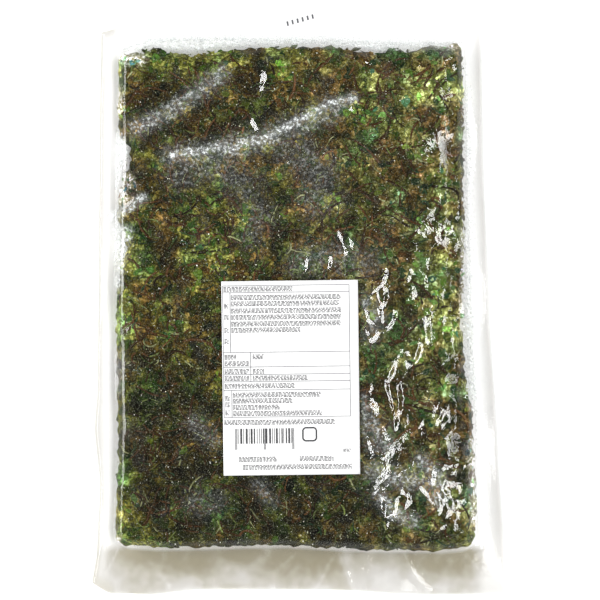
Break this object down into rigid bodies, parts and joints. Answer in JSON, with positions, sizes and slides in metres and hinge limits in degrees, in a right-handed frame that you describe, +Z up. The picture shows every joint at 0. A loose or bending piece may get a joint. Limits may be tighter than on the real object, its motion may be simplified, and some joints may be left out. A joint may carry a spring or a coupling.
{
  "type": "pouch of chopped pickled kombu",
  "caption": "Flat clear vacuum pouch filled with chopped pickled kombu, radish and greens in brine, with sealed flanges all round and a paper label on its front.",
  "frame": {"origin": "under the middle of the pouch's outline, on the surface the pouch lies on", "axes": "+Y from the pouch's bottom seal to its top seal, +X to the reader's right when the label is read, +Z up, out of the label"},
  "size_m": [0.1826, 0.2586, 0.0173],
  "materials": {
    "back_film": "clear laminated film, glossy",
    "front_film": "clear laminated film, glossy",
    "chopped_pickle": "wet chopped vegetables in brine",
    "kombu_shreds": "wet, slightly glossy kelp",
    "paper_label": "matt white label paper"
  },
  "bodies": {
    "root": {"back_film": "back_film", "front_film": "front_film", "chopped_pickle": "chopped_pickle", "kombu_shreds": "kombu_shreds", "paper_label": "paper_label"}
  },
  "joints": []
}
